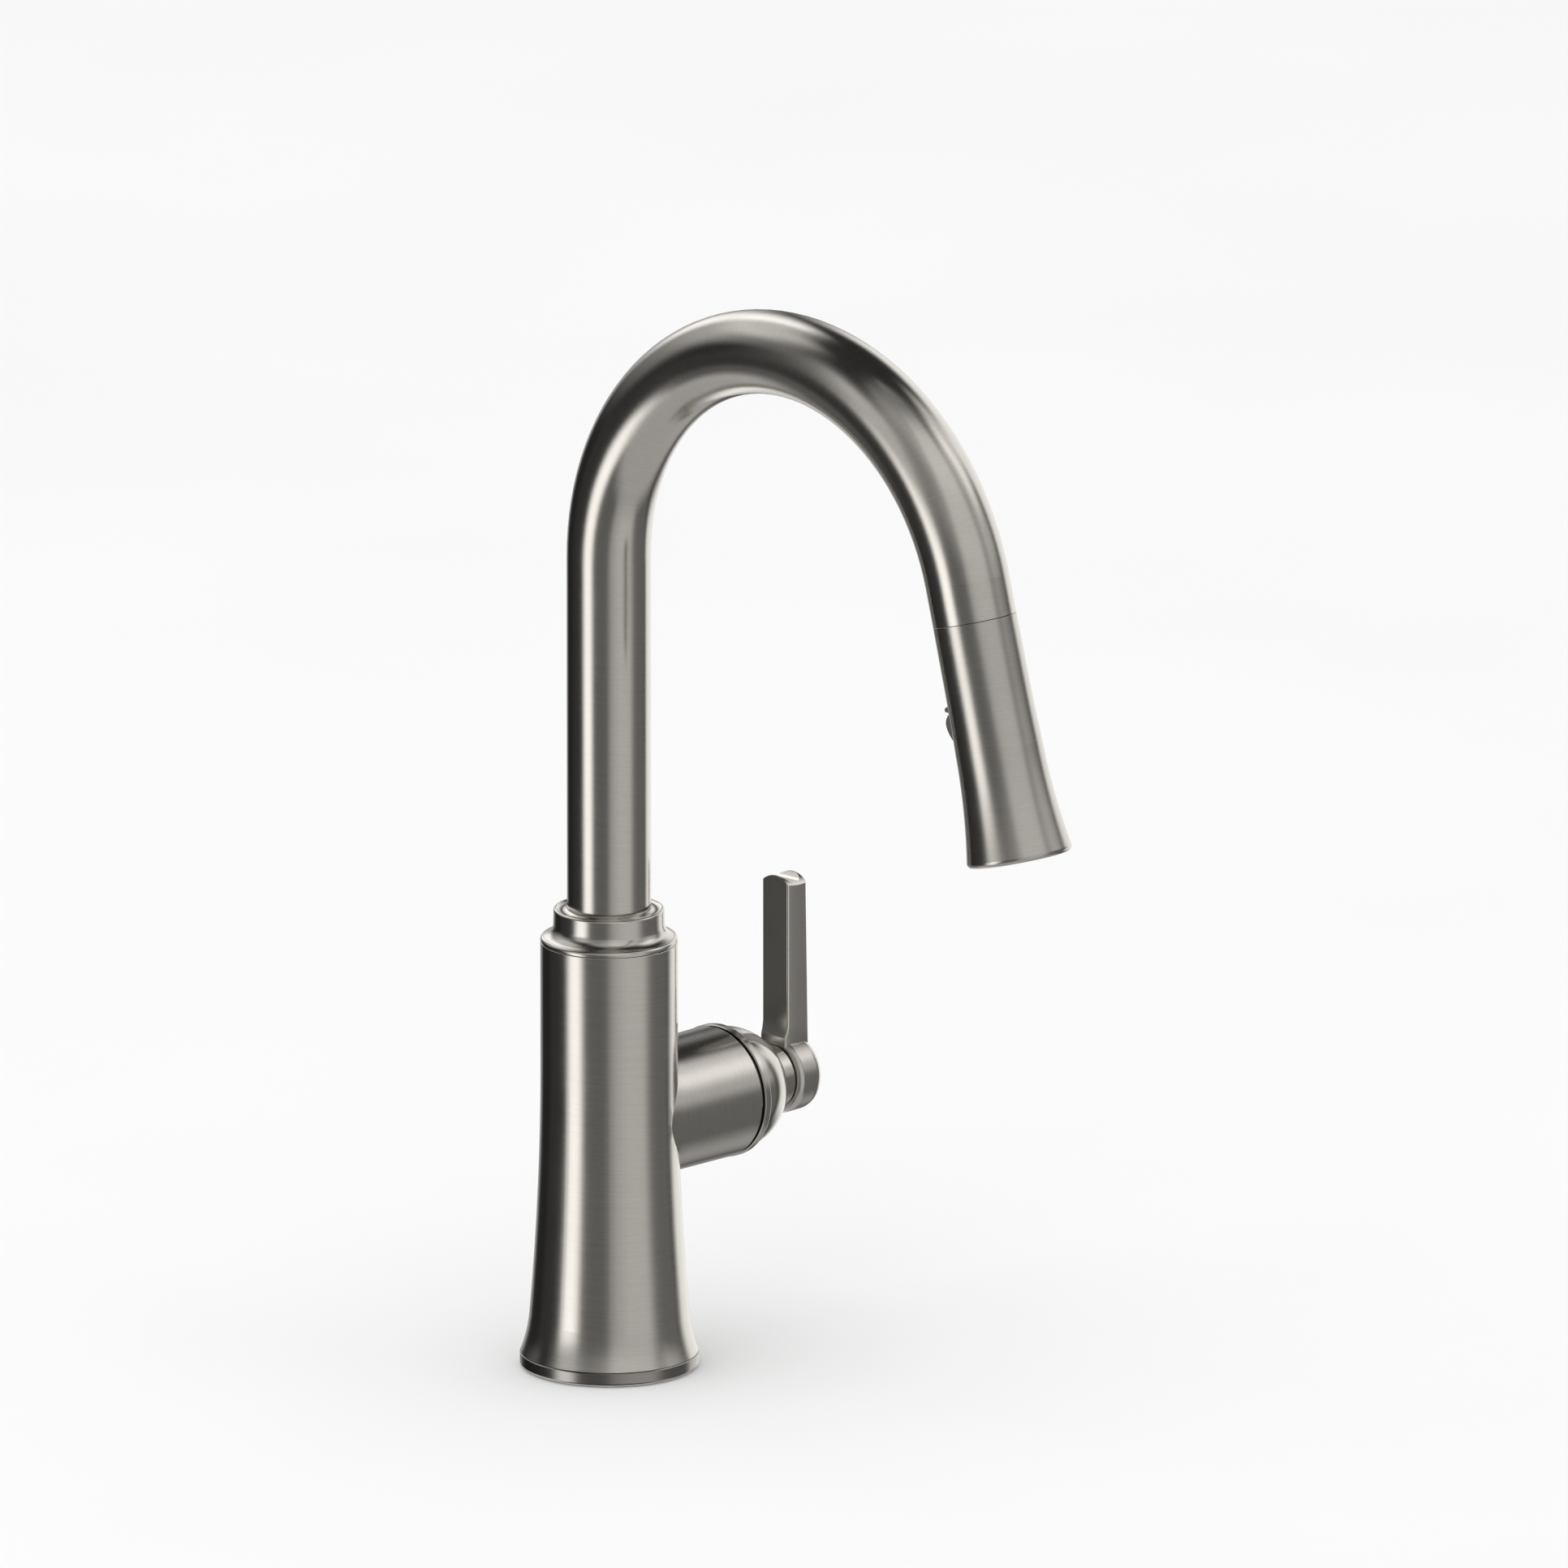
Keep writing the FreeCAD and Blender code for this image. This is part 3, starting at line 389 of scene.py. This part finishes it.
def dress():
    """Gives every CAD node its material."""
    valve = on_axis((1, 0, 0), VALVE_CENTRE)
    body = brushed_metal("nickel_body", NICKEL, column_and_stub)
    collar = brushed_metal("nickel_collar", NICKEL, on_axis((0, 0, 1), (0, 0, 0)))
    spout = brushed_metal("nickel_spout", NICKEL, round_the_spout)
    cap = brushed_metal("nickel_cap", NICKEL, valve, roughness=0.15)
    # The trim ring's colour is darkened to a tenth on the recessed floor beside the stub: painted shade.
    trim = brushed_metal("nickel_trim", NICKEL, valve, roughness=0.15, shade=(groove_painted_shade, 0.1))
    # The handle's colour is made 1.27 times as bright on the lever's upright part: painted light.
    handle = brushed_metal("nickel_handle", NICKEL, hub_and_blade, roughness=0.23, shade=(blade_painted_light, 1.27))
    wand = brushed_metal("nickel_wand", WAND_NICKEL, on_axis(WAND_AXIS, OUTLET), roughness=0.19)
    # The base ring takes the darker nickel: painted shade.
    band = brushed_metal("nickel_band_painted_shade", BAND_NICKEL_PAINTED_SHADE, on_axis((0, 0, 1), (0, 0, 0)), roughness=0.2)
    dark = moulded("dark_plastic", (0.02, 0.02, 0.02), 0.45)
    rubber = moulded("seal_rubber", (0.015, 0.015, 0.015), 0.6)
    white = moulded("white_plastic", (0.7, 0.7, 0.68), 0.4)
    grey = moulded("grey_plastic", (0.11, 0.11, 0.11), 0.38)
    nozzle = moulded("soft_nozzle", (0.03, 0.03, 0.03), 0.5)
    ceramic = moulded("ceramic", (0.85, 0.84, 0.8), 0.2)
    shank = threaded_metal("brass_shank", BRASS, 0.28, 0.0015, -DECK_T)
    fitting = threaded_metal("brass_fitting", BRASS, 0.3, 0.001, FITTING_TOP)
    brass = plain_metal("brass", BRASS, 0.3, 60.0)
    copper = plain_metal("copper", (0.85, 0.45, 0.3), 0.3, 60.0)
    steel = plain_metal("stainless", (0.6, 0.6, 0.59), 0.28, 80.0)
    magnet = plain_metal("magnet", (0.1, 0.1, 0.11), 0.4, 80.0)
    looks = {
        body: "body_casting",
        band: "base_ring",
        collar: "spout_collar",
        spout: "spout_tube",
        cap: "dome_cap neck_ring",
        trim: "trim_ring",
        handle: "lever_handle screw_plug",
        wand: "wand_shell toggle_button",
        dark: "glide_washer cartridge_body stem_carrier dock_bushing diverter_spool deck_washer_rubber",
        rubber: "cartridge_seals hose_washer",
        white: "base_gasket upper_bushing lower_bushing wand_waterway wand_neck check_valve",
        grey: "spray_face aerator",
        nozzle: "spray_nozzles",
        ceramic: "fixed_disc moving_disc",
        shank: "mounting_shank",
        fitting: "inlet_fitting_hot inlet_fitting_cold outlet_fitting",
        brass: "valve_block cartridge_nut mounting_nut hose_nut hose_end_fitting",
        copper: "inlet_tube_hot inlet_tube_cold outlet_tube",
        steel: "pivot_pin lever_stem handle_screw swivel_clip dock_ring toggle_pin diverter_spring "
               "deck_washer_steel jack_screws",
        magnet: "dock_magnet",
    }
    for material, names in looks.items():
        for name in names.split():
            for slot in NODES[name].material_slots:
                slot.material = material


# ---------------------------------------------------------------------- hose

HOSE_R = 0.006
HOSE_X = -0.0066
HOSE_FOOT = -0.058
SHIFT_START = 0.195
SHIFT_R = 0.3
SHIFT_TURN = math.acos(1 - abs(HOSE_X) / (2 * SHIFT_R))
SHIFT_END = SHIFT_START + 2 * SHIFT_R * math.sin(SHIFT_TURN)
ARCH_END = ARCH_CENTRE + Vector((0, -math.cos(ARCH_TILT), math.sin(ARCH_TILT))) * ARCH_R
PULL_TO = 0.0015


def shift_point(t):
    """Centre of the hose where it moves over from the column's side to the spout's centre."""
    z = SHIFT_START + (SHIFT_END - SHIFT_START) * t
    return Vector((HOSE_X * (1 + math.cos(math.pi * t)) / 2, 0, z))


def arch_point(t):
    angle = (math.pi - ARCH_TILT) * t
    return ARCH_CENTRE + Vector((0, math.cos(angle), math.sin(angle))) * ARCH_R


def tube(name, points, material):
    """Round tube through points in the plane of the gooseneck or of the column."""
    sides = 32
    mesh = bpy.data.meshes.new(name)
    shape = bmesh.new()
    rings = []
    for i, point in enumerate(points):
        forward = points[min(i + 1, len(points) - 1)] - points[max(i - 1, 0)]
        side = Vector((0, 1, 0)) if abs(forward.x) > 1e-9 else Vector((1, 0, 0))
        up = forward.cross(side).normalized()
        ring = []
        for k in range(sides):
            turn = 2 * math.pi * k / sides
            ring.append(shape.verts.new(point + (side * math.cos(turn) + up * math.sin(turn)) * HOSE_R))
        rings.append(ring)
    for low, high in zip(rings, rings[1:]):
        for k in range(sides):
            shape.faces.new((low[k], low[(k + 1) % sides], high[(k + 1) % sides], high[k]))
    shape.faces.new(rings[0])
    shape.faces.new(list(reversed(rings[-1])))
    bmesh.ops.recalc_face_normals(shape, faces=shape.faces)
    shape.to_mesh(mesh)
    shape.free()
    for face in mesh.polygons:
        face.use_smooth = len(face.vertices) == 4
    piece = bpy.data.objects.new(name, mesh)
    mesh.materials.append(material)
    bpy.context.scene.collection.objects.link(piece)
    return piece


def steps(make, count):
    return [make(i / count) for i in range(count + 1)]


def spray_hose():
    """The braided hose in four lengths: column, shift, arch, and the length that the wand pulls out."""
    nylon = (0.10, 0.10, 0.105)
    straight = braided("braid_column", nylon, on_axis((0, 0, 1), (HOSE_X, 0, 0)), HOSE_R)
    guided = braided("braid_spout", nylon, round_the_spout, HOSE_R)
    foot = Vector((HOSE_X, 0, HOSE_FOOT))
    low = tube("hose_column", steps(lambda t: foot.lerp(shift_point(0), t), 12), straight)
    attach(low, "base")
    shift = tube("hose_shift", steps(shift_point, 24), straight)
    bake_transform(shift)
    rise = steps(lambda t: shift_point(1).lerp(arch_point(0), t), 4)
    arch = tube("hose_arch", rise + steps(arch_point, 72)[1:], guided)
    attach(arch, "spout")
    pull_end = ARCH_END + WAND_AXIS * PULL_TO
    pulled = tube("hose_pulled", steps(lambda t: ARCH_END.lerp(pull_end, t), 40), guided)
    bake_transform(pulled)
    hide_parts("spray_hose")


# -------------------------------------------------------------------- studio


# Soft boxes that glossy surfaces reflect, in degrees from the camera's direction:
# brightness, azimuths from and to, softness of those edges, elevations from and to, softness.
SOFT_BOXES = (
    (0.50, (-400, 400), 5, (-130, -43), 8),  # pale floor
    (0.52, (4, 68), 12, (-42, 70), 8),  # main light, right of the camera
    (0.11, (22, 76), 10, (-42, 4), 12),  # its brighter lower part
    (0.14, (-50, 8), 8, (-42, 70), 12),  # left of the camera
    (0.22, (-40, 95), 30, (46, 130), 16),  # ceiling in front
    (0.17, (-8, 110), 22, (10, 56), 12),  # upper right
    (0.42, (76, 112), 10, (6, 56), 8),  # right, above the horizon
    (0.16, (74, 114), 8, (-42, 8), 10),  # right, below the horizon
    (0.02, (-118, -76), 6, (-42, 2), 10),  # left, below the horizon
    (0.13, (-45, 8), 10, (14, 60), 12),  # upper left
    (1.65, (-73, -47), 8, (-42, 2), 10),  # bright strip on the left
    (0.35, (-73, -47), 8, (4, 36), 8),  # the strip, above the horizon
    (0.26, (-80, -42), 14, (-2, 42), 14),  # glow round the strip
    (1.15, (124, 174), 9, (-30, 29), 10),  # bright wall behind, right
    (0.75, (92, 134), 10, (26, 54), 8),  # window, high on the right
    (1.35, (-172, -150), 9, (8, 56), 8),  # window, high behind on the left
    (0.45, (-180, -154), 8, (-60, 12), 8),  # wall behind, left
    (0.30, (-150, -90), 16, (17, 56), 8),  # upper back, left
    (0.45, (-160, -96), 12, (32, 62), 7),  # high back, left
    (0.22, (-160, -108), 10, (4, 38), 8),  # back, left
    (0.10, (-165, -80), 12, (-50, -26), 6),  # floor, left
    (0.30, (-180, -142), 8, (-60, -28), 8),  # floor, back left
)
DIM_ROOM = 0.022


def studio_world():
    """Soft boxes on a dim room for gloss, an even pale room for everything else."""
    world = bpy.data.worlds.new("studio")
    bpy.context.scene.world = world
    tree = Tree(world)
    towards = tree.add("ShaderNodeTexCoord").outputs["Generated"]
    sideways = tree.vector("DOT_PRODUCT", towards, tuple(VIEW_RIGHT))
    forward = tree.vector("DOT_PRODUCT", towards, tuple(direction(VIEW_AZIMUTH, 0)))
    azimuth = tree.maths("MULTIPLY", tree.maths("ARCTAN2", sideways, forward), 180 / math.pi)
    height = tree.parts(towards)[2]
    elevation = tree.maths("MULTIPLY", tree.maths("ARCSINE", height), 180 / math.pi)

    def band(value, low, high, soft):
        rise = tree.spread(value, 0, 1, low - soft, low + soft, smooth=True)
        fall = tree.spread(value, 1, 0, high - soft, high + soft, smooth=True)
        return tree.maths("MULTIPLY", rise, fall)

    total = DIM_ROOM
    for level, sides, side_soft, ends, end_soft in SOFT_BOXES:
        shape = tree.maths("MULTIPLY", band(azimuth, *sides, side_soft), band(elevation, *ends, end_soft))
        total = tree.maths("ADD", tree.maths("MULTIPLY", shape, level), total)
    gloss = tree.add("ShaderNodeBackground")
    tree.put(total, gloss.inputs["Strength"])
    gloss.inputs["Color"].default_value = (1.0, 0.995, 0.98, 1)
    room = tree.add("ShaderNodeBackground")
    room.inputs["Color"].default_value = (1, 1, 1, 1)
    room.inputs["Strength"].default_value = 0.97
    rays = tree.add("ShaderNodeLightPath")
    mix = tree.add("ShaderNodeMixShader")
    tree.put(rays.outputs["Is Glossy Ray"], mix.inputs[0])
    tree.put(room.outputs[0], mix.inputs[1])
    tree.put(gloss.outputs[0], mix.inputs[2])
    output = tree.add("ShaderNodeOutputWorld")
    tree.put(mix.outputs[0], output.inputs["Surface"])


def floor():
    """Plain pale floor at the deck plane."""
    bpy.ops.mesh.primitive_plane_add(size=40.0, location=(0, 0, -0.0002))
    plane = bpy.context.object
    plane.name = "floor"
    material, tree, shader = new_material("floor_white")
    place = tree.add("ShaderNodeTexCoord").outputs["Object"]
    cloud = tree.noise(place, 3.0, 3.0, 0.5)
    tint = tree.spread(cloud, 0.0, 1.0, 0.3, 0.7)
    tree.put(tree.blend(tint, (0.93, 0.93, 0.93, 1), (0.95, 0.95, 0.95, 1)), shader.inputs["Base Color"])
    shader.inputs["Roughness"].default_value = 0.9
    shader.inputs["Specular IOR Level"].default_value = 0.0
    plane.data.materials.append(material)
    plane.visible_glossy = False


def key_light():
    """Large soft light from the upper left, aimed at the faucet's middle."""
    distance = 2.5
    back = direction(VIEW_AZIMUTH + math.radians(-40), math.radians(60))
    data = bpy.data.lights.new("key", "AREA")
    data.shape = "SQUARE"
    data.size = 2.4
    data.energy = 8
    light = bpy.data.objects.new("key", data)
    light.location = Vector((0, -0.08, 0.2)) + back * distance
    light.rotation_euler = back.to_track_quat("Z", "Y").to_euler()
    light.visible_glossy = False
    bpy.context.scene.collection.objects.link(light)


def camera():
    """Long lens at the viewing angle."""
    lens = 1000.0
    distance = 15.6
    back = direction(VIEW_AZIMUTH, VIEW_ELEVATION)
    up = back.cross(VIEW_RIGHT)
    target = VIEW_RIGHT * 0.0625 + up * 0.2076
    data = bpy.data.cameras.new("camera")
    data.lens = lens
    data.sensor_width = 36.0
    data.clip_end = 100.0
    eye = bpy.data.objects.new("camera", data)
    eye.location = target + back * distance
    eye.rotation_euler = back.to_track_quat("Z", "Y").to_euler()
    bpy.context.scene.collection.objects.link(eye)
    bpy.context.scene.camera = eye


dress()
spray_hose()
studio_world()
floor()
key_light()
camera()
bpy.context.scene.view_settings.view_transform = "Standard"
